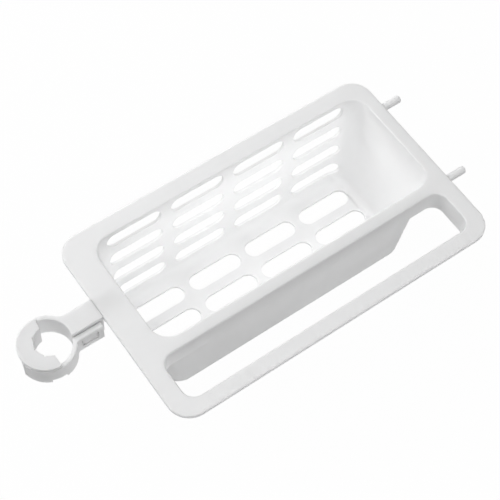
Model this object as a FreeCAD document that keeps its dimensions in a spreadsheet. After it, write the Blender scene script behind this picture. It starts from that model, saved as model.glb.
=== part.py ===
import FreeCAD, Part
import math
import os
import Sketcher

# Kitchen sink caddy that hangs from a faucet: a slotted basket in a flat rim with a
# towel bar, and a hinged ring clip with a removable spacer.
# Frame: Z up, rim top at zero, origin on the faucet axis, X along the rim away from the
# clip, Y towards the back of the sink. All sizes are in millimetres and degrees.

doc = FreeCAD.newDocument("sink_caddy")

sizes = [
    ("rim_depth", "158"),
    ("rim_thick", "3"),
    ("rim_corner", "16.5"),
    ("rim_round", "1.1"),
    ("faucet_to_rim", "37.5"),
    ("faucet_to_front", "98.2"),
    ("basket_from_left", "21"),
    ("basket_from_right", "10"),
    ("basket_length", "229"),
    ("strip_between", "8.9"),
    ("strip_behind", "13.5"),
    ("basket_depth", "92"),
    ("basket_corner", "14"),
    ("end_taper", "10.5"),
    ("side_taper", "5"),
    ("wall_thick", "2.2"),
    ("floor_thick", "2.4"),
    ("floor_round", "6"),
    ("towel_from_left", "13.5"),
    ("towel_from_right", "12.5"),
    ("towel_from_front", "11.4"),
    ("towel_width", "35.2"),
    ("towel_corner", "9"),
    ("skirt_thick", "2"),
    ("skirt_depth", "18.5"),
    ("wall_slot_length", "44.4"),
    ("wall_slot_height", "13"),
    ("wall_slot_pitch", "53"),
    ("wall_row_first", "10.6"),
    ("wall_row_pitch", "22.2"),
    ("wall_end_margin", "12"),
    ("wall_foot_margin", "1.5"),
    ("floor_slot_length", "44.4"),
    ("floor_slot_width", "14"),
    ("floor_slot_pitch", "51"),
    ("floor_row_pitch", "21.8"),
    ("link_pin_radius", "2.9"),
    ("link_pin_length", "15"),
    ("link_pin_drop", "3.2"),
    ("link_pin_chamfer", "0.6"),
    ("link_pin_root", "9"),
    ("link_pin_front", "51.5"),
    ("link_pin_back", "32"),
    ("link_collar_step", "0.25"),
    ("link_collar_out", "0.4"),
    ("tongue_length", "15"),
    ("tongue_width", "11"),
    ("tongue_thick", "5"),
    ("socket_wall", "2"),
    ("socket_inset", "1.2"),
    ("socket_play", "0.1"),
    ("seam_gap", "0.15"),
    ("ring_offset", "3"),
    ("band_inner_radius", "16.9"),
    ("band_thick", "3.1"),
    ("clip_height", "19"),
    ("clip_round", "0.7"),
    ("arm_width", "16"),
    ("arm_offset", "3.2"),
    ("arm_plate", "3"),
    ("arm_wall", "2.2"),
    ("arm_blend", "7"),
    ("split_gap", "0.35"),
    ("jaw_drop", "3.2"),
    ("tab_thick", "4"),
    ("tab_end_gap", "2.8"),
    ("tab_blend", "2.5"),
    ("window_length", "12.5"),
    ("window_height", "8"),
    ("window_from_end", "4"),
    ("catch_play", "0.45"),
    ("catch_reach", "3.9"),
    ("catch_nose", "0.6"),
    ("hinge_down", "3.6"),
    ("knuckle_radius", "1.6"),
    ("knuckle_inset", "0.1"),
    ("knuckle_gap", "0.3"),
    ("leaf_height", "4.4"),
    ("hinge_pin_radius", "0.75"),
    ("hinge_play", "0.05"),
    ("relief_depth", "1.6"),
    ("relief_start_angle", "150"),
    ("relief_sweep_angle", "55"),
    ("spacer_bore_radius", "11.2"),
    ("spacer_flange", "2.2"),
    ("spacer_play", "0.3"),
    ("jaw_clear", "1.6"),
    ("spacer_start_angle", "82"),
    ("spacer_sweep_angle", "188"),
    ("seat_play_angle", "1.5"),
    ("flute_radius", "0.9"),
    ("flute_step_angle", "42"),
    ("notch_start_angle", "247"),
    ("notch_sweep_angle", "31"),
    ("notch_height", "3"),
    ("overrun", "6"),
]
sheet = doc.addObject("Spreadsheet::Sheet", "dims")
for row, (alias, amount) in enumerate(sizes, start=1):
    sheet.set("A%d" % row, alias)
    sheet.set("B%d" % row, amount)
    sheet.setAlias("B%d" % row, alias)
doc.recompute()

# Sizes that follow from the ones above.
followers = [
    ("rim_length", "dims.basket_from_left + dims.basket_length + dims.basket_from_right"),
    ("basket_from_front", "dims.towel_from_front + dims.towel_width + dims.strip_between"),
    ("basket_width", "dims.rim_depth - basket_from_front - dims.strip_behind"),
    ("basket_bottom", "dims.basket_depth + dims.floor_thick"),
    ("end_lean", "atan(dims.end_taper / dims.basket_depth)"),
    ("side_lean", "atan(dims.side_taper / dims.basket_depth)"),
    ("basket_mid_x", "dims.basket_from_left + dims.basket_length / 2"),
    ("basket_mid_y", "basket_from_front + basket_width / 2"),
    ("towel_length", "rim_length - dims.towel_from_left - dims.towel_from_right"),
    ("wall_length", "dims.basket_length - 2 * dims.wall_end_margin"),
    ("wall_foot", "dims.basket_depth - dims.floor_round - dims.wall_foot_margin"),
    ("wall_row_space", "wall_foot - dims.wall_row_first - dims.wall_slot_height / 2"),
    ("wall_column_count", "floor((wall_length - dims.wall_slot_length) / dims.wall_slot_pitch) + 1"),
    ("wall_row_count", "floor(wall_row_space / dims.wall_row_pitch) + 1"),
    ("floor_length", "dims.basket_length - 2 * dims.end_taper - dims.floor_round"),
    ("floor_width", "basket_width - 2 * (dims.side_taper + dims.floor_round)"),
    ("floor_column_count", "floor((floor_length - dims.floor_slot_length) / dims.floor_slot_pitch) + 1"),
    ("floor_row_count", "floor((floor_width - dims.floor_slot_width) / dims.floor_row_pitch) + 1"),
    ("link_collar_radius", "dims.link_pin_radius + dims.link_collar_step"),
    ("tunnel_width", "dims.tongue_width + 2 * dims.socket_play"),
    ("tunnel_height", "dims.tongue_thick + dims.socket_play"),
    ("socket_width", "tunnel_width + 2 * dims.socket_wall"),
    ("socket_length", "dims.tongue_length + dims.socket_play + dims.socket_wall"),
    ("socket_depth", "dims.rim_thick + tunnel_height + dims.socket_wall"),
    ("arm_front", "dims.arm_width / 2 - dims.arm_offset"),
    ("arm_end", "dims.faucet_to_rim - dims.seam_gap"),
    ("band_outer_radius", "dims.band_inner_radius + dims.band_thick"),
    ("jaw_back", "arm_front + dims.split_gap"),
    ("jaw_height", "dims.clip_height - dims.jaw_drop"),
    ("tab_end", "dims.faucet_to_rim - dims.tab_end_gap"),
    ("hinge_reach", "dims.band_inner_radius + dims.knuckle_inset + dims.knuckle_radius"),
    ("hinge_out", "dims.ring_offset + sqrt(hinge_reach ^ 2 - dims.hinge_down ^ 2)"),
    ("knuckle_height", "jaw_height - 2 * (dims.leaf_height + dims.knuckle_gap)"),
    ("knuckle_clear", "dims.knuckle_radius + dims.knuckle_gap"),
    ("web_length", "knuckle_clear + dims.band_thick"),
    ("window_end", "tab_end - dims.window_from_end"),
    ("window_mid_drop", "dims.jaw_drop + jaw_height / 2"),
    ("catch_length", "dims.window_length - 2 * dims.catch_play"),
    ("catch_height", "dims.window_height - 2 * dims.catch_play"),
    ("relief_radius", "band_outer_radius - dims.relief_depth"),
    ("spacer_radius", "dims.band_inner_radius - dims.spacer_play"),
    ("flange_radius", "band_outer_radius - dims.spacer_play"),
    ("swing_radius", "dims.band_inner_radius - dims.jaw_clear"),
]
derived = doc.addObject("Spreadsheet::Sheet", "fits")
for row, (alias, formula) in enumerate(followers, start=1):
    derived.set("A%d" % row, alias)
    derived.set("B%d" % row, "=" + formula)
    derived.setAlias("B%d" % row, alias)
doc.recompute()


def origin_plane(body, role):
    for feature in body.Origin.OriginFeatures:
        if feature.Role == role:
            return feature
    raise ValueError("no plane " + role)


def new_sketch(body, name, role, x="0", y="0", z="0"):
    sketch = body.newObject("Sketcher::SketchObject", name)
    sketch.AttachmentSupport = [(origin_plane(body, role), "")]
    sketch.MapMode = "FlatFace"
    sketch.setExpression("AttachmentOffset.Base.x", x)
    sketch.setExpression("AttachmentOffset.Base.y", y)
    sketch.setExpression("AttachmentOffset.Base.z", z)
    return sketch


def number(holder, expression):
    value = holder.evalExpression(expression)
    return float(getattr(value, "Value", value))


def bind(sketch, index, name, expression):
    sketch.renameConstraint(index, name)
    sketch.setExpression("Constraints." + name, expression)


def vector(x, y, z=0.0):
    return FreeCAD.Vector(x, y, z)


def arc(centre, radius, start, end):
    circle = Part.Circle(centre, vector(0, 0, 1), radius)
    return Part.ArcOfCircle(circle, math.radians(start), math.radians(end))


# A rounded rectangle with its low corner at the sketch origin.
def rounded_rectangle(sketch, length, width, radius):
    long = number(sketch, length)
    wide = number(sketch, width)
    bend = number(sketch, radius)
    sketch.addGeometry(Part.LineSegment(vector(bend, 0), vector(long - bend, 0)))
    sketch.addGeometry(Part.LineSegment(vector(long, bend), vector(long, wide - bend)))
    sketch.addGeometry(Part.LineSegment(vector(long - bend, wide), vector(bend, wide)))
    sketch.addGeometry(Part.LineSegment(vector(0, wide - bend), vector(0, bend)))
    sketch.addGeometry(arc(vector(long - bend, bend), bend, 270, 360))
    sketch.addGeometry(arc(vector(long - bend, wide - bend), bend, 0, 90))
    sketch.addGeometry(arc(vector(bend, wide - bend), bend, 90, 180))
    sketch.addGeometry(arc(vector(bend, bend), bend, 180, 270))
    for side in range(4):
        corner = 4 + side
        following = (side + 1) % 4
        sketch.addConstraint(Sketcher.Constraint("Tangent", side, 2, corner, 1))
        sketch.addConstraint(Sketcher.Constraint("Tangent", corner, 2, following, 1))
    for side in (0, 2):
        sketch.addConstraint(Sketcher.Constraint("Horizontal", side))
    for side in (1, 3):
        sketch.addConstraint(Sketcher.Constraint("Vertical", side))
    for corner in (5, 6, 7):
        sketch.addConstraint(Sketcher.Constraint("Equal", 4, corner))
    sketch.addConstraint(Sketcher.Constraint("PointOnObject", 0, 1, -1))
    sketch.addConstraint(Sketcher.Constraint("PointOnObject", 3, 1, -2))
    index = sketch.addConstraint(Sketcher.Constraint("Radius", 4, bend))
    bind(sketch, index, "corner", radius)
    index = sketch.addConstraint(Sketcher.Constraint("DistanceX", 3, 1, 1, 1, long))
    bind(sketch, index, "length", length)
    index = sketch.addConstraint(Sketcher.Constraint("DistanceY", 0, 1, 2, 1, wide))
    bind(sketch, index, "width", width)


# A slot with round ends, centred on the sketch origin and lying along its first axis.
def round_slot(sketch, length, width):
    bend = number(sketch, width) / 2
    reach = number(sketch, length) / 2 - bend
    sketch.addGeometry(Part.LineSegment(vector(-reach, -bend), vector(reach, -bend)))
    sketch.addGeometry(arc(vector(reach, 0), bend, 270, 450))
    sketch.addGeometry(Part.LineSegment(vector(reach, bend), vector(-reach, bend)))
    sketch.addGeometry(arc(vector(-reach, 0), bend, 90, 270))
    for piece in range(4):
        following = (piece + 1) % 4
        sketch.addConstraint(Sketcher.Constraint("Tangent", piece, 2, following, 1))
    sketch.addConstraint(Sketcher.Constraint("Horizontal", 0))
    sketch.addConstraint(Sketcher.Constraint("Symmetric", 1, 3, 3, 3, -1, 1))
    index = sketch.addConstraint(Sketcher.Constraint("Radius", 1, bend))
    bind(sketch, index, "end", "(%s) / 2" % width)
    index = sketch.addConstraint(Sketcher.Constraint("DistanceX", 3, 3, 1, 3, 2 * reach))
    bind(sketch, index, "span", "(%s) - (%s)" % (length, width))


# A rectangle with its low corner at the sketch origin.
def plain_rectangle(sketch, length, width):
    long = number(sketch, length)
    wide = number(sketch, width)
    corners = [vector(0, 0), vector(long, 0), vector(long, wide), vector(0, wide)]
    for side in range(4):
        sketch.addGeometry(Part.LineSegment(corners[side], corners[(side + 1) % 4]))
    for side in range(4):
        following = (side + 1) % 4
        sketch.addConstraint(Sketcher.Constraint("Coincident", side, 2, following, 1))
    for side in (0, 2):
        sketch.addConstraint(Sketcher.Constraint("Horizontal", side))
    for side in (1, 3):
        sketch.addConstraint(Sketcher.Constraint("Vertical", side))
    sketch.addConstraint(Sketcher.Constraint("Coincident", 0, 1, -1, 1))
    index = sketch.addConstraint(Sketcher.Constraint("DistanceX", 0, 1, 0, 2, long))
    bind(sketch, index, "length", length)
    index = sketch.addConstraint(Sketcher.Constraint("DistanceY", 1, 1, 1, 2, wide))
    bind(sketch, index, "width", width)


# A circle centred on the sketch origin.
def round_disc(sketch, radius):
    bend = number(sketch, radius)
    sketch.addGeometry(Part.Circle(vector(0, 0), vector(0, 0, 1), bend))
    sketch.addConstraint(Sketcher.Constraint("Coincident", 0, 3, -1, 1))
    index = sketch.addConstraint(Sketcher.Constraint("Radius", 0, bend))
    bind(sketch, index, "radius", radius)


def pad(body, name, sketch, length, backwards=False):
    feature = body.newObject("PartDesign::Pad", name)
    feature.Profile = sketch
    feature.Reversed = backwards
    feature.setExpression("Length", length)
    sketch.Visibility = False
    doc.recompute()
    return feature


# A cut of the given length, or right through the body when no length is given.
def pocket(body, name, sketch, length=None, backwards=False):
    feature = body.newObject("PartDesign::Pocket", name)
    feature.Profile = sketch
    feature.Reversed = backwards
    if length is None:
        feature.Type = "ThroughAll"
    else:
        feature.setExpression("Length", length)
    sketch.Visibility = False
    before = body.Shape.Volume
    doc.recompute()
    if body.Shape.Volume >= before:
        raise ValueError(name + " removed nothing")
    return feature


# Repeats a cut along both axes of its sketch, starting from the first one's place.
def grid(body, name, feature, sketch, columns, column_pitch, rows, row_pitch):
    pattern = body.newObject("PartDesign::MultiTransform", name)
    pattern.Originals = [feature]
    steps = []
    for axis, count, pitch in (("H_Axis", columns, column_pitch), ("V_Axis", rows, row_pitch)):
        step = body.newObject("PartDesign::LinearPattern", name + "_" + axis[0].lower())
        step.Direction = (sketch, [axis])
        step.Mode = "Spacing"
        step.setExpression("Offset", pitch)
        step.setExpression("Occurrences", count)
        steps.append(step)
    pattern.Transformations = steps
    body.Tip = pattern
    doc.recompute()
    return pattern


def edges_where(shape, test):
    names = []
    for place, edge in enumerate(shape.Edges, start=1):
        if test(edge.BoundBox):
            names.append("Edge%d" % place)
    return names


def round_edges(body, name, radius, test):
    base = body.Tip
    feature = body.newObject("PartDesign::Fillet", name)
    feature.Base = (base, edges_where(base.Shape, test))
    feature.setExpression("Radius", radius)
    body.Tip = feature
    doc.recompute()
    return feature


def chamfer_edges(body, name, width, test):
    base = body.Tip
    feature = body.newObject("PartDesign::Chamfer", name)
    feature.Base = (base, edges_where(base.Shape, test))
    feature.setExpression("Size", width)
    body.Tip = feature
    doc.recompute()
    return feature


# Tilts the chosen walls about the rim's top face: narrowing downwards for outer walls.
def lean(body, name, angle, test, downwards=False):
    base = body.Tip
    chosen = []
    for place, face in enumerate(base.Shape.Faces, start=1):
        if test(face.BoundBox):
            chosen.append("Face%d" % place)
    feature = body.newObject("PartDesign::Draft", name)
    feature.Base = (base, chosen)
    feature.NeutralPlane = (origin_plane(body, "XY_Plane"), [""])
    feature.Reversed = downwards
    feature.setExpression("Angle", angle)
    body.Tip = feature
    doc.recompute()
    return feature


def size(name):
    return float(getattr(sheet.get(name), "Value", sheet.get(name)))


def fit(name):
    return float(getattr(derived.get(name), "Value", derived.get(name)))


# How close two coordinates must be to count as equal when edges are picked.
near = 0.001


def level(box, height):
    return abs(box.ZMin - height) < near and abs(box.ZMax - height) < near


def plumb(box, along):
    return abs(box.XMin - along) < near and abs(box.XMax - along) < near


def deep(box):
    return box.ZLength > size("basket_depth") / 2


def deep_end(box):
    return deep(box) and box.XLength < near


def deep_side(box):
    return deep(box) and box.YLength < near


def inside_basket(box):
    left = size("basket_from_left")
    front = fit("basket_from_front")
    right = left + size("basket_length")
    back = front + fit("basket_width")
    along = left - near < box.XMin and box.XMax < right + near
    return along and front - near < box.YMin and box.YMax < back + near


# The tray: rim, basket, towel opening with its skirt, clip socket and link pins. Its own
# origin is the rim's front corner on the clip side.
tray = doc.addObject("PartDesign::Body", "tray")
tray.Label = "tray"
tray.setExpression("Placement.Base.x", "dims.faucet_to_rim")
tray.setExpression("Placement.Base.y", "-dims.faucet_to_front")

rim_outline = new_sketch(tray, "rim_outline", "XY_Plane")
rounded_rectangle(rim_outline, "fits.rim_length", "dims.rim_depth", "dims.rim_corner")
pad(tray, "rim", rim_outline, "dims.rim_thick", backwards=True)

shell_outline = new_sketch(
    tray, "shell_outline", "XY_Plane",
    "dims.basket_from_left - dims.wall_thick", "fits.basket_from_front - dims.wall_thick",
    "-dims.rim_thick / 2")
plain_rectangle(
    shell_outline, "dims.basket_length + 2 * dims.wall_thick",
    "fits.basket_width + 2 * dims.wall_thick")
pad(tray, "shell", shell_outline, "fits.basket_bottom - dims.rim_thick / 2", backwards=True)
hollow_outline = new_sketch(
    tray, "hollow_outline", "XY_Plane", "dims.basket_from_left", "fits.basket_from_front")
plain_rectangle(hollow_outline, "dims.basket_length", "fits.basket_width")
pocket(tray, "hollow", hollow_outline, "dims.basket_depth")
lean(tray, "hollow_ends", "fits.end_lean", lambda box: deep_end(box) and inside_basket(box))
lean(tray, "hollow_sides", "fits.side_lean", lambda box: deep_side(box) and inside_basket(box))
lean(tray, "shell_ends", "fits.end_lean", deep_end, downwards=True)
lean(tray, "shell_sides", "fits.side_lean", deep_side, downwards=True)
round_edges(tray, "hollow_corners", "dims.basket_corner",
            lambda box: deep(box) and inside_basket(box))
round_edges(tray, "shell_corners", "dims.basket_corner + dims.wall_thick",
            lambda box: deep(box) and not inside_basket(box))
round_edges(tray, "shell_foot", "dims.floor_round + dims.floor_thick",
            lambda box: level(box, -fit("basket_bottom")))
round_edges(tray, "floor_edge", "dims.floor_round",
            lambda box: level(box, -size("basket_depth")))

skirt_outline = new_sketch(
    tray, "skirt_outline", "XY_Plane",
    "dims.towel_from_left - dims.skirt_thick", "dims.towel_from_front - dims.skirt_thick")
rounded_rectangle(
    skirt_outline, "fits.towel_length + 2 * dims.skirt_thick",
    "dims.towel_width + 2 * dims.skirt_thick", "dims.towel_corner + dims.skirt_thick")
pad(tray, "skirt", skirt_outline, "dims.skirt_depth", backwards=True)

towel_outline = new_sketch(
    tray, "towel_outline", "XY_Plane", "dims.towel_from_left", "dims.towel_from_front")
rounded_rectangle(
    towel_outline, "fits.towel_length", "dims.towel_width", "dims.towel_corner")
pocket(tray, "towel_opening", towel_outline)
round_edges(tray, "rim_edges", "dims.rim_round", lambda box: level(box, 0))

wall_slot = new_sketch(
    tray, "wall_slot", "XZ_Plane",
    "fits.basket_mid_x - (fits.wall_column_count - 1) / 2 * dims.wall_slot_pitch",
    "-dims.wall_row_first - (fits.wall_row_count - 1) * dims.wall_row_pitch", "-fits.basket_mid_y")
round_slot(wall_slot, "dims.wall_slot_length", "dims.wall_slot_height")
wall_cut = pocket(tray, "wall_cut", wall_slot)
grid(tray, "wall_slots", wall_cut, wall_slot,
     "fits.wall_column_count", "dims.wall_slot_pitch", "fits.wall_row_count", "dims.wall_row_pitch")

floor_slot = new_sketch(
    tray, "floor_slot", "XY_Plane",
    "fits.basket_mid_x - (fits.floor_column_count - 1) / 2 * dims.floor_slot_pitch",
    "fits.basket_mid_y - (fits.floor_row_count - 1) / 2 * dims.floor_row_pitch",
    "-dims.basket_depth / 2")
round_slot(floor_slot, "dims.floor_slot_length", "dims.floor_slot_width")
floor_cut = pocket(tray, "floor_cut", floor_slot)
grid(tray, "floor_slots", floor_cut, floor_slot,
     "fits.floor_column_count", "dims.floor_slot_pitch",
     "fits.floor_row_count", "dims.floor_row_pitch")

socket_block = new_sketch(
    tray, "socket_block", "XY_Plane", "dims.socket_inset",
    "dims.faucet_to_front + dims.arm_offset - fits.socket_width / 2", "-dims.rim_thick / 2")
plain_rectangle(
    socket_block, "fits.socket_length - dims.socket_inset", "fits.socket_width")
pad(tray, "socket", socket_block, "fits.socket_depth - dims.rim_thick / 2", backwards=True)
socket_mouth = new_sketch(
    tray, "socket_mouth", "YZ_Plane",
    "dims.faucet_to_front + dims.arm_offset - fits.tunnel_width / 2",
    "-dims.rim_thick - fits.tunnel_height")
plain_rectangle(socket_mouth, "fits.tunnel_width", "fits.tunnel_height")
pocket(tray, "socket_tunnel", socket_mouth, "dims.tongue_length + dims.socket_play", backwards=True)

for place, along in (("front", "dims.link_pin_front"),
                     ("rear", "dims.rim_depth - dims.link_pin_back")):
    collar_circle = new_sketch(
        tray, "collar_circle_" + place, "YZ_Plane", along, "-dims.link_pin_drop",
        "fits.rim_length - dims.link_pin_root")
    round_disc(collar_circle, "fits.link_collar_radius")
    pad(tray, "link_collar_" + place, collar_circle, "dims.link_pin_root + dims.link_collar_out")
    pin_circle = new_sketch(
        tray, "link_circle_" + place, "YZ_Plane", along, "-dims.link_pin_drop",
        "fits.rim_length + dims.link_collar_out")
    round_disc(pin_circle, "dims.link_pin_radius")
    pad(tray, "link_pin_" + place, pin_circle, "dims.link_pin_length - dims.link_collar_out")
chamfer_edges(tray, "link_tips", "dims.link_pin_chamfer",
              lambda box: plumb(box, fit("rim_length") + size("link_pin_length")))


# The clip and its pieces stand in the faucet's own frame.
def place_at(item, x, y, z):
    item.setExpression("Placement.Base.x", x)
    item.setExpression("Placement.Base.y", y)
    item.setExpression("Placement.Base.z", z)


def cylinder(name, radius, height, x, y, z):
    item = doc.addObject("Part::Cylinder", name)
    item.setExpression("Radius", radius)
    item.setExpression("Height", height)
    place_at(item, x, y, z)
    return item


def wedge_of_ring(name, radius, height, x, y, z, start, sweep):
    item = cylinder(name, radius, height, x, y, z)
    item.setExpression("Angle", sweep)
    item.setExpression("Placement.Rotation.Angle", start)
    return item


def block(name, length, width, height, x, y, z):
    item = doc.addObject("Part::Box", name)
    item.setExpression("Length", length)
    item.setExpression("Width", width)
    item.setExpression("Height", height)
    place_at(item, x, y, z)
    return item


def join(name, pieces):
    item = doc.addObject("Part::MultiFuse", name)
    item.Shapes = pieces
    item.Refine = True
    doc.recompute()
    return item


def shared(name, pieces):
    item = doc.addObject("Part::MultiCommon", name)
    item.Shapes = pieces
    doc.recompute()
    return item


def less(name, base, tools):
    tool = tools[0] if len(tools) == 1 else join(name + "_tools", tools)
    item = doc.addObject("Part::Cut", name)
    item.Base = base
    item.Tool = tool
    item.Refine = True
    doc.recompute()
    if item.Shape.Volume >= base.Shape.Volume:
        raise ValueError(name + " removed nothing")
    return item


def soften(name, base, radius, test):
    item = doc.addObject("Part::Fillet", name)
    item.Base = base
    chosen = []
    for place, edge in enumerate(base.Shape.Edges, start=1):
        if test(edge.BoundBox):
            chosen.append((place, radius, radius))
    item.Edges = chosen
    doc.recompute()
    return item


ring_x = "-dims.ring_offset"
hinge_x = "-fits.hinge_out"
hinge_y = "-dims.hinge_down"
clip_foot = "-dims.clip_height"
leaf_feet = ("-dims.clip_height", "-dims.jaw_drop - dims.leaf_height")
knuckle_foot = "-dims.clip_height + dims.leaf_height + dims.knuckle_gap"


def upright(box, x, y):
    flat = abs(box.XMax - box.XMin) < near and abs(box.YMax - box.YMin) < near
    return flat and abs(box.XMin - x) < near and abs(box.YMin - y) < near


# A length of the ring's band next to the hinge, at one knuckle's height.
def hinge_web(name, outer, y, foot, height):
    band = less(
        name + "_band",
        cylinder(name + "_out", outer, height, ring_x, "0", foot),
        [cylinder(name + "_in", "dims.band_inner_radius", height, ring_x, "0", foot)])
    patch = block(name + "_patch", "fits.band_outer_radius", "fits.web_length", height,
                  "-fits.band_outer_radius - dims.ring_offset", y, foot)
    return shared(name, [band, patch])


# The fixed half of the clip: arm, back half of the ring, hinge leaves, catch and tongue.
arm_blank = join("arm_blank", [
    cylinder("ring_disc", "fits.band_outer_radius", "dims.clip_height", ring_x, "0", clip_foot),
    block("arm_block", "fits.arm_end + dims.ring_offset", "dims.arm_width", "dims.clip_height",
          ring_x, "-fits.arm_front", clip_foot)])
arm_back = size("arm_width") - fit("arm_front")
neck_x = (fit("band_outer_radius") ** 2 - arm_back ** 2) ** 0.5 - size("ring_offset")
arm_blended = soften("arm_blended", arm_blank, size("arm_blend"),
                     lambda box: upright(box, neck_x, arm_back))
arm_hollow = less("arm_hollow", block(
    "arm_inside", "fits.arm_end - dims.arm_wall", "dims.arm_width - 2 * dims.arm_wall",
    "dims.clip_height - dims.arm_plate + dims.overrun", "0", "dims.arm_wall - fits.arm_front",
    "-dims.clip_height - dims.overrun"), [cylinder(
        "arm_keep", "fits.band_outer_radius", "dims.clip_height + 2 * dims.overrun",
        ring_x, "0", "-dims.clip_height - dims.overrun")])
hinge_relief = less("hinge_relief", wedge_of_ring(
    "relief_outside", "fits.band_outer_radius + dims.overrun", "dims.clip_height",
    ring_x, "0", clip_foot, "dims.relief_start_angle", "dims.relief_sweep_angle"), [cylinder(
        "relief_keep", "fits.relief_radius", "dims.clip_height", ring_x, "0", clip_foot)])
arm_open = less("arm_open", arm_blended, [
    cylinder("ring_bore", "dims.band_inner_radius", "dims.clip_height", ring_x, "0", clip_foot),
    block("front_half", "2 * fits.band_outer_radius", "fits.band_outer_radius",
          "dims.clip_height", "-fits.band_outer_radius - dims.ring_offset",
          "-fits.arm_front - fits.band_outer_radius", clip_foot),
    block("hinge_half", "fits.band_outer_radius", "fits.band_outer_radius", "dims.clip_height",
          "-fits.band_outer_radius - dims.ring_offset", "-dims.hinge_down - fits.band_outer_radius",
          clip_foot),
    wedge_of_ring("spacer_seat", "fits.band_outer_radius + dims.overrun", "dims.spacer_flange",
                  ring_x, "0", "-dims.spacer_flange", "dims.spacer_start_angle - dims.seat_play_angle",
                  "dims.spacer_sweep_angle"),
    cylinder("hinge_room", "fits.knuckle_clear", "dims.clip_height", hinge_x, hinge_y, clip_foot),
    hinge_relief,
    arm_hollow])
# The arm's end stays square, so that only a fine seam shows against the rim.
arm_softened = soften("arm_softened", arm_open, size("clip_round"),
                      lambda box: level(box, 0) and box.XMin < fit("arm_end") - near)
leaves = []
for place, foot in zip(("low", "high"), leaf_feet):
    leaves.append(cylinder("leaf_" + place, "dims.knuckle_radius", "dims.leaf_height",
                           hinge_x, hinge_y, foot))
    leaves.append(hinge_web("leaf_web_" + place, "fits.relief_radius", hinge_y, foot,
                            "dims.leaf_height"))
catch = doc.addObject("Part::Wedge", "catch")
catch.setExpression("Xmax", "fits.catch_length")
catch.setExpression("X2max", "fits.catch_length")
catch.setExpression("Ymax", "dims.catch_reach + dims.arm_wall / 2")
catch.setExpression("Zmin", "dims.catch_nose")
catch.setExpression("Zmax", "fits.catch_height - dims.catch_nose")
catch.setExpression("Z2max", "fits.catch_height")
for low in ("Xmin", "X2min", "Ymin", "Z2min"):
    setattr(catch, low, 0)
place_at(catch, "fits.window_end - dims.catch_play - fits.catch_length",
         "-fits.arm_front - dims.catch_reach", "-fits.window_mid_drop - fits.catch_height / 2")
tongue = block(
    "tongue", "dims.tongue_length + dims.seam_gap + dims.arm_wall / 2", "dims.tongue_width",
    "dims.tongue_thick", "fits.arm_end - dims.arm_wall / 2",
    "dims.arm_offset - dims.tongue_width / 2", "-dims.rim_thick - dims.tongue_thick")
arm_solid = join("arm_solid", [arm_softened, catch, tongue] + leaves)
clip_arm = less("clip_arm", arm_solid, [cylinder(
    "leaf_hole", "dims.hinge_pin_radius", "dims.clip_height", hinge_x, hinge_y, clip_foot)])

# The moving half: front of the ring with its knuckle and the finger tab beside the arm.
jaw_side = block("jaw_side", "2 * fits.band_outer_radius", "fits.band_outer_radius",
                 "fits.jaw_height", "-fits.band_outer_radius - dims.ring_offset",
                 "-fits.jaw_back - fits.band_outer_radius", clip_foot)
jaw_half = shared("jaw_half", [cylinder(
    "jaw_disc", "fits.band_outer_radius", "fits.jaw_height", ring_x, "0", clip_foot), jaw_side])
tab = block("tab", "fits.tab_end", "dims.tab_thick", "fits.jaw_height",
            "0", "-fits.jaw_back - dims.tab_thick", clip_foot)
jaw_blank = join("jaw_blank", [jaw_half, tab])
tab_front = fit("jaw_back") + size("tab_thick")
tab_root = (fit("band_outer_radius") ** 2 - tab_front ** 2) ** 0.5 - size("ring_offset")
jaw_blended = soften("jaw_blended", jaw_blank, size("tab_blend"),
                     lambda box: upright(box, tab_root, -tab_front))
jaw_open = less("jaw_open", jaw_blended, [
    cylinder("jaw_bore", "dims.band_inner_radius", "fits.jaw_height", ring_x, "0", clip_foot),
    cylinder("knuckle_room", "fits.knuckle_clear", "fits.jaw_height", hinge_x, hinge_y, clip_foot)])
jaw_softened = soften("jaw_softened", jaw_open, size("clip_round"),
                      lambda box: level(box, -size("jaw_drop")) and box.YMin < near - tab_front)
knuckle = cylinder("knuckle", "dims.knuckle_radius", "fits.knuckle_height",
                   hinge_x, hinge_y, knuckle_foot)
knuckle_web = hinge_web("knuckle_web", "fits.band_outer_radius", "-dims.hinge_down - fits.web_length",
                        knuckle_foot, "fits.knuckle_height")
jaw_solid = join("jaw_solid", [jaw_softened, knuckle, knuckle_web])
clip_jaw = less("clip_jaw", jaw_solid, [
    block("window", "dims.window_length", "dims.tab_thick + dims.overrun", "dims.window_height",
          "fits.window_end - dims.window_length", "-fits.jaw_back - dims.tab_thick - dims.overrun / 2",
          "-fits.window_mid_drop - dims.window_height / 2"),
    wedge_of_ring("jaw_notch", "fits.band_outer_radius + dims.overrun", "dims.notch_height",
                  ring_x, "0", clip_foot, "dims.notch_start_angle", "dims.notch_sweep_angle"),
    cylinder("knuckle_hole", "dims.hinge_pin_radius + dims.hinge_play", "dims.clip_height",
             hinge_x, hinge_y, clip_foot)])

# The pin of the hinge, pressed into the two leaves of the arm.
hinge_pin = doc.addObject("PartDesign::Body", "hinge_pin")
hinge_pin.setExpression("Placement.Base.x", hinge_x)
hinge_pin.setExpression("Placement.Base.y", hinge_y)
hinge_pin.setExpression("Placement.Base.z", clip_foot)
pin_section = new_sketch(hinge_pin, "pin_section", "XY_Plane")
round_disc(pin_section, "dims.hinge_pin_radius")
pad(hinge_pin, "pin_length", pin_section, "fits.jaw_height")

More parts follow.
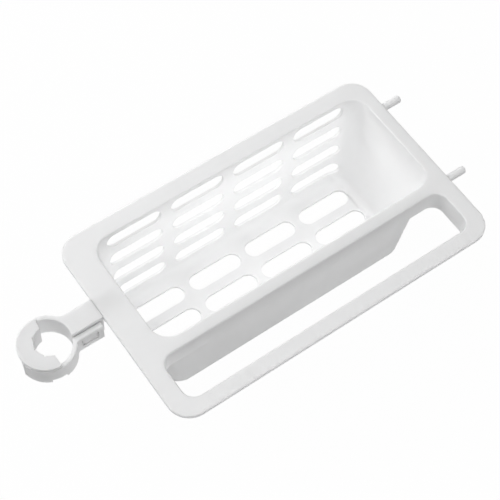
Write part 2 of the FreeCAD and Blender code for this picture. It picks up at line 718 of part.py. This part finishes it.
# The spacer: a thick open ring with a flange that rests on the seat in the fixed half.
spacer_blank = join("spacer_blank", [
    cylinder("spacer_body", "fits.spacer_radius", "dims.clip_height", ring_x, "0", clip_foot),
    cylinder("spacer_rim", "fits.flange_radius", "dims.spacer_flange",
             ring_x, "0", "-dims.spacer_flange")])
flutes = []
for place, turn in enumerate(("-dims.flute_step_angle", "0", "dims.flute_step_angle")):
    flutes.append(cylinder(
        "flute_%d" % place, "dims.flute_radius", "dims.clip_height",
        "-dims.spacer_bore_radius * cos((%s) * 1 deg)" % turn,
        "dims.spacer_bore_radius * sin((%s) * 1 deg)" % turn, clip_foot))
# Below its flange the spacer stays well inside the moving half of the ring.
jaw_swing = less("jaw_swing", block(
    "swing_side", "2 * fits.band_outer_radius", "fits.band_outer_radius",
    "dims.clip_height - dims.spacer_flange", "-fits.band_outer_radius - dims.ring_offset",
    "-fits.band_outer_radius", clip_foot), [cylinder(
        "swing_keep", "fits.swing_radius", "dims.clip_height", ring_x, "0", clip_foot)])
spacer_open = less("spacer_open", spacer_blank, [
    jaw_swing,
    cylinder("spacer_bore", "dims.spacer_bore_radius", "dims.clip_height", "0", "0", clip_foot),
    wedge_of_ring("spacer_mouth", "fits.band_outer_radius + dims.overrun", "dims.clip_height",
                  ring_x, "0", clip_foot, "dims.spacer_start_angle + dims.spacer_sweep_angle",
                  "360 - dims.spacer_sweep_angle")] + flutes)
spacer = soften("spacer", spacer_open, size("clip_round"),
                lambda box: level(box, 0) and box.DiagonalLength > size("spacer_bore_radius"))

doc.recompute()
for item in doc.Objects:
    if "Invalid" in item.State or "Error" in item.State:
        raise ValueError("%s did not build: %s" % (item.Name, item.State))
os.makedirs("parts", exist_ok=True)
for item, label in ((tray, "tray"), (clip_arm, "clip_arm"), (clip_jaw, "clip_jaw"),
                    (hinge_pin, "hinge_pin"), (spacer, "spacer")):
    item.Label = label
    if item.Shape.isNull() or not item.Shape.isValid() or len(item.Shape.Solids) != 1:
        raise ValueError(label + " is not one sound solid")
    item.Shape.exportStep("parts/%s.step" % label)
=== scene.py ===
import bmesh
import bpy
import math
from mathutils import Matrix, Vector


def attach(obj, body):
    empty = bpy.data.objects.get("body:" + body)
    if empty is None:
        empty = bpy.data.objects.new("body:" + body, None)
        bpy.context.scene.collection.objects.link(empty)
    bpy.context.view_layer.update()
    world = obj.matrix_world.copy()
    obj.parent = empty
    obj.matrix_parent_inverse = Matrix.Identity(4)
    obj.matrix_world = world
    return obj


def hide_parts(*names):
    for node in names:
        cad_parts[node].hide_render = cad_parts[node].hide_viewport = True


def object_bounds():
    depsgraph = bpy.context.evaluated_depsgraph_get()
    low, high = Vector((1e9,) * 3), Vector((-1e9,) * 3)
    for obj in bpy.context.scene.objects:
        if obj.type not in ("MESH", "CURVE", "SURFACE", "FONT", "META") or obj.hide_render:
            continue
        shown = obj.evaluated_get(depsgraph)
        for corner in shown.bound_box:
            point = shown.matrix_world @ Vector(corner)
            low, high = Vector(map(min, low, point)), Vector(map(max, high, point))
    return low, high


# White faucet rack: slotted basket, towel bar, ring clip with its loose spacer.
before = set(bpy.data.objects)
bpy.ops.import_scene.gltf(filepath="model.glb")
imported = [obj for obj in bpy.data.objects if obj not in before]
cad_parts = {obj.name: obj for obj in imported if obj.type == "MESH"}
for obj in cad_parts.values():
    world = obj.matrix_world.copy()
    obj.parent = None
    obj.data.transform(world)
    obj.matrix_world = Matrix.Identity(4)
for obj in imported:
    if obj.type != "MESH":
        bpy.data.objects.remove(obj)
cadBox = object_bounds()
middle = (cadBox[0] + cadBox[1]) / 2
print("frame loaded:", ", ".join(sorted(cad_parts)))


# node helpers
colourMix = {"from": 6, "to": 7, "out": 2}  # the colour sockets of a Mix node
plainWhite = (1.0, 1.0, 1.0, 1.0)


def addNode(tree, kind, place, **settings):
    node = tree.nodes.new(kind)
    node.location = place
    for name, value in settings.items():
        setattr(node, name, value)
    return node


def setInputs(node, **values):
    for name, value in values.items():
        node.inputs[name.replace("_", " ")].default_value = value


# 1 for rays that show a surface itself, straight, mirrored or through glass, and 0 for its light
def shownRays(tree):
    path = addNode(tree, "ShaderNodeLightPath", (-900, 400))
    straight = addNode(tree, "ShaderNodeMath", (-600, 400), operation="MAXIMUM")
    through = addNode(tree, "ShaderNodeMath", (-400, 400), operation="MAXIMUM")
    tree.links.new(path.outputs["Is Camera Ray"], straight.inputs[0])
    tree.links.new(path.outputs["Is Glossy Ray"], straight.inputs[1])
    tree.links.new(straight.outputs[0], through.inputs[0])
    tree.links.new(path.outputs["Is Transmission Ray"], through.inputs[1])
    return through.outputs[0]


# shared finish of moulded plastic: cloudy tone, flow streaks, fine grain and scuffs
skinPattern = {
    "cloudDetail": 3.0,
    "cloudRoughness": 0.55,
    "cloudDistortion": 0.4,
    "cloudShare": 0.65,
    "streakStretch": (8.0, 160.0, 160.0),  # long along the rim, fine across it
    "streakDetail": 2.0,
    "streakRoughness": 0.6,
    "streakShare": 0.35,
    "grainDetail": 4.0,
    "grainRoughness": 0.7,
    "grainShare": 0.25,
    "toneFrom": 0.3,
    "toneTo": 0.7,
    "scuffFrom": 0.35,
    "scuffTo": 0.65,
}


def buildMouldedSkin(values):
    group = bpy.data.node_groups.new("mouldedSkin", "ShaderNodeTree")
    face = group.interface
    face.new_socket("Tint", in_out="INPUT", socket_type="NodeSocketColor")
    face.new_socket("Shade", in_out="INPUT", socket_type="NodeSocketColor")
    face.new_socket("Cloud Scale", in_out="INPUT", socket_type="NodeSocketFloat")
    face.new_socket("Grain Scale", in_out="INPUT", socket_type="NodeSocketFloat")
    face.new_socket("Smooth", in_out="INPUT", socket_type="NodeSocketFloat")
    face.new_socket("Scuffed", in_out="INPUT", socket_type="NodeSocketFloat")
    face.new_socket("Color", in_out="OUTPUT", socket_type="NodeSocketColor")
    face.new_socket("Roughness", in_out="OUTPUT", socket_type="NodeSocketFloat")
    face.new_socket("Height", in_out="OUTPUT", socket_type="NodeSocketFloat")
    link = group.links.new
    enter = addNode(group, "NodeGroupInput", (-1200, 0))
    leave = addNode(group, "NodeGroupOutput", (600, 0))
    spot = addNode(group, "ShaderNodeTexCoord", (-1200, -300))

    # slow clouds in the pigment
    cloud = addNode(group, "ShaderNodeTexNoise", (-800, 300))
    setInputs(cloud, Detail=values["cloudDetail"], Roughness=values["cloudRoughness"],
              Distortion=values["cloudDistortion"])
    link(spot.outputs["Object"], cloud.inputs["Vector"])
    link(enter.outputs["Cloud Scale"], cloud.inputs["Scale"])

    # streaks that follow the flow of the melt along the rim
    stretch = addNode(group, "ShaderNodeMapping", (-1000, -100))
    setInputs(stretch, Scale=values["streakStretch"])
    streak = addNode(group, "ShaderNodeTexNoise", (-800, -100))
    setInputs(streak, Scale=1.0, Detail=values["streakDetail"], Roughness=values["streakRoughness"])
    link(spot.outputs["Object"], stretch.inputs["Vector"])
    link(stretch.outputs["Vector"], streak.inputs["Vector"])

    # fine grain of the mould's skin
    grain = addNode(group, "ShaderNodeTexNoise", (-800, -450))
    setInputs(grain, Detail=values["grainDetail"], Roughness=values["grainRoughness"])
    link(spot.outputs["Object"], grain.inputs["Vector"])
    link(enter.outputs["Grain Scale"], grain.inputs["Scale"])

    tone = addNode(group, "ShaderNodeMath", (-550, 200), operation="MULTIPLY_ADD")
    tone.inputs[1].default_value = values["cloudShare"]
    link(cloud.outputs["Fac"], tone.inputs[0])
    faint = addNode(group, "ShaderNodeMath", (-550, 0), operation="MULTIPLY")
    faint.inputs[1].default_value = values["streakShare"]
    link(streak.outputs["Fac"], faint.inputs[0])
    link(faint.outputs[0], tone.inputs[2])
    spread = addNode(group, "ShaderNodeMapRange", (-300, 200))
    setInputs(spread, From_Min=values["toneFrom"], From_Max=values["toneTo"])
    link(tone.outputs[0], spread.inputs["Value"])
    pigment = addNode(group, "ShaderNodeMix", (0, 250), data_type="RGBA")
    link(spread.outputs["Result"], pigment.inputs["Factor"])
    link(enter.outputs["Shade"], pigment.inputs[colourMix["from"]])
    link(enter.outputs["Tint"], pigment.inputs[colourMix["to"]])
    link(pigment.outputs[colourMix["out"]], leave.inputs["Color"])

    rough = addNode(group, "ShaderNodeMapRange", (0, -50))
    setInputs(rough, From_Min=values["scuffFrom"], From_Max=values["scuffTo"])
    link(streak.outputs["Fac"], rough.inputs["Value"])
    link(enter.outputs["Smooth"], rough.inputs["To Min"])
    link(enter.outputs["Scuffed"], rough.inputs["To Max"])
    link(rough.outputs["Result"], leave.inputs["Roughness"])

    waves = addNode(group, "ShaderNodeMath", (0, -350), operation="MULTIPLY_ADD")
    waves.inputs[1].default_value = values["grainShare"]
    link(grain.outputs["Fac"], waves.inputs[0])
    link(cloud.outputs["Fac"], waves.inputs[2])
    link(waves.outputs[0], leave.inputs["Height"])
    return group


mouldedSkin = buildMouldedSkin(skinPattern)


def plasticMaterial(values):
    material = bpy.data.materials.new(values["name"])
    material.use_nodes = True
    tree = material.node_tree
    shader = tree.nodes["Principled BSDF"]
    setInputs(shader, IOR=values["ior"], Subsurface_Weight=values["glow"],
              Subsurface_Radius=values["glowSpread"], Subsurface_Scale=values["glowReach"])
    skin = addNode(tree, "ShaderNodeGroup", (-500, 0), node_tree=mouldedSkin)
    setInputs(skin, Tint=values["tint"], Shade=values["shade"], Cloud_Scale=values["cloudScale"],
              Grain_Scale=values["grainScale"], Smooth=values["smooth"], Scuffed=values["scuffed"])
    bump = addNode(tree, "ShaderNodeBump", (-250, -250))
    setInputs(bump, Strength=values["bump"], Distance=values["bumpDepth"])
    tree.links.new(skin.outputs["Color"], shader.inputs["Base Color"])
    tree.links.new(skin.outputs["Roughness"], shader.inputs["Roughness"])
    tree.links.new(skin.outputs["Height"], bump.inputs["Height"])
    tree.links.new(bump.outputs["Normal"], shader.inputs["Normal"])
    return material


trayFinish = {
    "name": "satinTrayPlastic",
    "tint": (0.872, 0.873, 0.875, 1.0),
    "shade": (0.855, 0.856, 0.858, 1.0),
    "cloudScale": 22.0,  # clouds of about 45 mm
    "grainScale": 1500.0,
    "smooth": 0.52,
    "scuffed": 0.64,
    "bump": 0.25,
    "bumpDepth": 0.00012,
    "ior": 1.49,
    "glow": 1.0,
    "glowSpread": (1.0, 1.0, 1.0),  # alike in red, green and blue
    "glowReach": 0.004,
}
clipFinish = dict(
    trayFinish,
    name="satinClipPlastic",
    tint=(0.870, 0.871, 0.874, 1.0),
    shade=(0.851, 0.852, 0.855, 1.0),
    cloudScale=60.0,
    smooth=0.48,
    scuffed=0.6,
)
trayPlastic = plasticMaterial(trayFinish)
clipPlastic = plasticMaterial(clipFinish)


# drawn steel wire of the hinge pin: fine lines along its length
wireFinish = {
    "name": "drawnSteelWire",
    "dark": (0.46, 0.46, 0.47, 1.0),
    "light": (0.62, 0.62, 0.63, 1.0),
    "metal": 1.0,
    "lines": (9000.0, 9000.0, 120.0),
    "lineDetail": 3.0,
    "lineRoughness": 0.6,
    "polished": 0.24,
    "dull": 0.42,
    "bump": 0.3,
    "bumpDepth": 0.00002,
}


def wireMaterial(values):
    material = bpy.data.materials.new(values["name"])
    material.use_nodes = True
    tree = material.node_tree
    shader = tree.nodes["Principled BSDF"]
    setInputs(shader, Metallic=values["metal"])
    spot = addNode(tree, "ShaderNodeTexCoord", (-1000, 0))
    stretch = addNode(tree, "ShaderNodeMapping", (-800, 0))
    setInputs(stretch, Scale=values["lines"])
    lines = addNode(tree, "ShaderNodeTexNoise", (-600, 0))
    setInputs(lines, Scale=1.0, Detail=values["lineDetail"], Roughness=values["lineRoughness"])
    colour = addNode(tree, "ShaderNodeMix", (-300, 150), data_type="RGBA")
    colour.inputs[colourMix["from"]].default_value = values["dark"]
    colour.inputs[colourMix["to"]].default_value = values["light"]
    rough = addNode(tree, "ShaderNodeMapRange", (-300, -100))
    setInputs(rough, To_Min=values["polished"], To_Max=values["dull"])
    bump = addNode(tree, "ShaderNodeBump", (-300, -350))
    setInputs(bump, Strength=values["bump"], Distance=values["bumpDepth"])
    link = tree.links.new
    link(spot.outputs["Object"], stretch.inputs["Vector"])
    link(stretch.outputs["Vector"], lines.inputs["Vector"])
    link(lines.outputs["Fac"], colour.inputs["Factor"])
    link(lines.outputs["Fac"], rough.inputs["Value"])
    link(lines.outputs["Fac"], bump.inputs["Height"])
    link(colour.outputs[colourMix["out"]], shader.inputs["Base Color"])
    link(rough.outputs["Result"], shader.inputs["Roughness"])
    link(bump.outputs["Normal"], shader.inputs["Normal"])
    return material


steelWire = wireMaterial(wireFinish)
print("finishes ready")


# moulded pieces: a merged copy of each node with its sharp edges broken, as a mould leaves them
mouldings = [
    {"node": "tray", "name": "trayMoulding", "body": "rack", "slot": "tray_plastic",
     "material": trayPlastic, "edge": 0.00028},
    {"node": "clip_arm", "name": "clipArmMoulding", "body": "rack", "slot": "clip_plastic",
     "material": clipPlastic, "edge": 0.00018},
    {"node": "clip_jaw", "name": "clipJawMoulding", "body": "jaw", "slot": "clip_plastic",
     "material": clipPlastic, "edge": 0.00018},
    {"node": "spacer", "name": "spacerMoulding", "body": "spacer", "slot": "clip_plastic",
     "material": clipPlastic, "edge": 0.00018},
    {"node": "hinge_pin", "name": "hingePinWire", "body": "rack", "slot": "pin_steel",
     "material": steelWire, "edge": 0.00012},
]
edgeBreak = {
    "weld": 1e-6,  # metres, corners closer than this become one
    "flat": 0.4,  # degrees between faces that count as one
    "sharp": 42.0,  # degrees, edges above this are rounded
    "shape": 180.0,  # degrees, so that four-sided faces of any shape count
    "room": 1.1,  # widths of flat face that an edge needs beside it
    "segments": 2,
    "evenWeight": 90,
}


# picks the edges to round: the sharp ones with room beside them
def markEdges(piece, width):
    mesh = bmesh.new()
    mesh.from_mesh(piece.data)
    weight = mesh.edges.layers.float.new("bevel_weight_edge")
    sharp = math.radians(edgeBreak["sharp"])
    for edge in mesh.edges:
        if edge.calc_face_angle(0.0) < sharp:
            continue
        start = edge.verts[0].co
        along = (edge.verts[1].co - start).normalized()
        room = min(
            max((corner.co - start).cross(along).length for corner in face.verts)
            for face in edge.link_faces)
        if room > edgeBreak["room"] * width:
            edge[weight] = 1.0
    mesh.to_mesh(piece.data)
    mesh.free()


def breakEdges(values):
    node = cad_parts[values["node"]]
    piece = bpy.data.objects.new(values["name"], node.data.copy())
    bpy.context.scene.collection.objects.link(piece)
    bpy.ops.object.select_all(action="DESELECT")
    piece.select_set(True)
    bpy.context.view_layer.objects.active = piece
    bpy.ops.object.mode_set(mode="EDIT")
    bpy.ops.mesh.select_all(action="SELECT")
    bpy.ops.mesh.remove_doubles(threshold=edgeBreak["weld"])
    bpy.ops.mesh.customdata_custom_splitnormals_clear()
    bpy.ops.mesh.select_all(action="SELECT")
    flat = math.radians(edgeBreak["flat"])
    shape = math.radians(edgeBreak["shape"])
    bpy.ops.mesh.tris_convert_to_quads(face_threshold=flat, shape_threshold=shape)
    bpy.ops.object.mode_set(mode="OBJECT")
    bpy.ops.object.shade_smooth()
    markEdges(piece, values["edge"])
    bevel = piece.modifiers.new("edgeBreak", "BEVEL")
    bevel.width = values["edge"]
    bevel.segments = edgeBreak["segments"]
    bevel.limit_method = "WEIGHT"
    bevel.use_clamp_overlap = False
    bevel.loop_slide = False
    bpy.ops.object.modifier_apply(modifier=bevel.name)
    even = piece.modifiers.new("evenShade", "WEIGHTED_NORMAL")
    even.weight = edgeBreak["evenWeight"]
    bpy.ops.object.modifier_apply(modifier=even.name)
    piece.data.materials.clear()
    piece.data.materials.append(values["material"])
    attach(piece, values["body"])
    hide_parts(values["node"])
    print("moulding", piece.name, len(piece.data.polygons), "faces")


for moulding in mouldings:
    breakEdges(moulding)


# pale table: shows white, keeps a soft shadow and throws light back up
table = {
    "name": "paleTable",
    "size": 5.0,
    "drop": 0.0004,  # below the basket's foot
    "paper": (0.86, 0.86, 0.86, 1.0),
    "mottle": (0.83, 0.83, 0.83, 1.0),
    "grain": 40.0,
    "grainDetail": 3.0,
    "white": 0.98,  # share of plain white that the camera sees
    "glow": 0.12,  # share of it in the light that the table throws up
}


def tableMaterial(values):
    material = bpy.data.materials.new(values["name"])
    material.use_nodes = True
    tree = material.node_tree
    tree.nodes.remove(tree.nodes["Principled BSDF"])
    leave = tree.nodes["Material Output"]
    spot = addNode(tree, "ShaderNodeTexCoord", (-900, 0))
    grain = addNode(tree, "ShaderNodeTexNoise", (-700, 0))
    setInputs(grain, Scale=values["grain"], Detail=values["grainDetail"])
    paper = addNode(tree, "ShaderNodeMix", (-500, 0), data_type="RGBA")
    paper.inputs[colourMix["from"]].default_value = values["mottle"]
    paper.inputs[colourMix["to"]].default_value = values["paper"]
    matte = addNode(tree, "ShaderNodeBsdfDiffuse", (-250, 100))
    white = addNode(tree, "ShaderNodeEmission", (-250, -100))
    setInputs(white, Color=plainWhite, Strength=1.0)
    share = addNode(tree, "ShaderNodeMapRange", (-200, 400))
    setInputs(share, To_Min=values["glow"], To_Max=values["white"])
    mix = addNode(tree, "ShaderNodeMixShader", (50, 0))
    link = tree.links.new
    link(spot.outputs["Object"], grain.inputs["Vector"])
    link(grain.outputs["Fac"], paper.inputs["Factor"])
    link(paper.outputs[colourMix["out"]], matte.inputs["Color"])
    link(shownRays(tree), share.inputs["Value"])
    link(share.outputs["Result"], mix.inputs["Fac"])
    link(matte.outputs["BSDF"], mix.inputs[1])
    link(white.outputs["Emission"], mix.inputs[2])
    link(mix.outputs["Shader"], leave.inputs["Surface"])
    return material


def layTable(values):
    bpy.ops.object.select_all(action="DESELECT")
    height = cadBox[0].z - values["drop"]
    bpy.ops.mesh.primitive_plane_add(size=values["size"], location=(middle.x, middle.y, height))
    floor = bpy.context.object
    floor.name = values["name"]
    bpy.ops.object.transform_apply(location=True, rotation=True, scale=True)
    floor.data.materials.append(tableMaterial(values))


layTable(table)

# studio light: soft from above and behind, weak in front, with a small lamp in the basket's mouth
lamps = [
    {"name": "skyLamp", "place": (0.1, 0.28, 1.28), "wide": 1.2, "high": 1.2, "power": 7.6},
    {"name": "backWallLamp", "place": (0.27, 0.7, -0.05), "wide": 0.25, "high": 0.07, "power": 1.0},
    {"name": "backLeftLamp", "place": (-0.75, 0.85, 0.9), "wide": 1.0, "high": 1.0, "power": 9.8},
    {"name": "frontLamp", "place": (0.3, -1.2, 0.95), "wide": 1.0, "high": 1.0, "power": 5.7},
    {"name": "basketLamp", "place": (0.173, 0.002, 0.002), "aim": (0.173, 0.002, -0.1),
     "wide": 0.18, "high": 0.055, "power": 0.03},
]
# the room gives less light than it shows
room = {"name": "whiteRoom", "level": 0.13, "seen": 1.0}


def hangLamp(values):
    place = Vector(values["place"])
    aim = Vector(values.get("aim", middle))
    turn = (aim - place).to_track_quat("-Z", "Y").to_euler()
    bpy.ops.object.light_add(type="AREA", location=place, rotation=turn)
    lamp = bpy.context.object
    lamp.name = values["name"]
    lamp.data.shape = "RECTANGLE"
    lamp.data.size = values["wide"]
    lamp.data.size_y = values["high"]
    lamp.data.energy = values["power"]
    lamp.visible_camera = False


def lightRoom(values):
    world = bpy.data.worlds.new(values["name"])
    bpy.context.scene.world = world
    world.use_nodes = True
    tree = world.node_tree
    back = tree.nodes["Background"]
    setInputs(back, Color=plainWhite)
    level = addNode(tree, "ShaderNodeMapRange", (-200, 200))
    setInputs(level, To_Min=values["level"], To_Max=values["seen"])
    tree.links.new(shownRays(tree), level.inputs["Value"])
    tree.links.new(level.outputs["Result"], back.inputs["Strength"])


for lamp in lamps:
    hangLamp(lamp)
lightRoom(room)
print("table and light set")

# camera, worked back from the rim and basket edges in the picture
shot = {
    "name": "shotCamera",
    "place": (-0.13212, -0.36620, 0.77448),
    "turn": (29.908, -2.020, -35.135),  # degrees about X, Y and Z
    "lens": 94.68,
    "sensor": 36.0,
}


def placeCamera(values):
    turn = [math.radians(angle) for angle in values["turn"]]
    bpy.ops.object.camera_add(location=values["place"], rotation=turn)
    camera = bpy.context.object
    camera.name = values["name"]
    camera.data.lens = values["lens"]
    camera.data.sensor_width = values["sensor"]
    bpy.context.scene.camera = camera


placeCamera(shot)
bpy.context.scene.view_settings.view_transform = "Standard"
print("camera set")
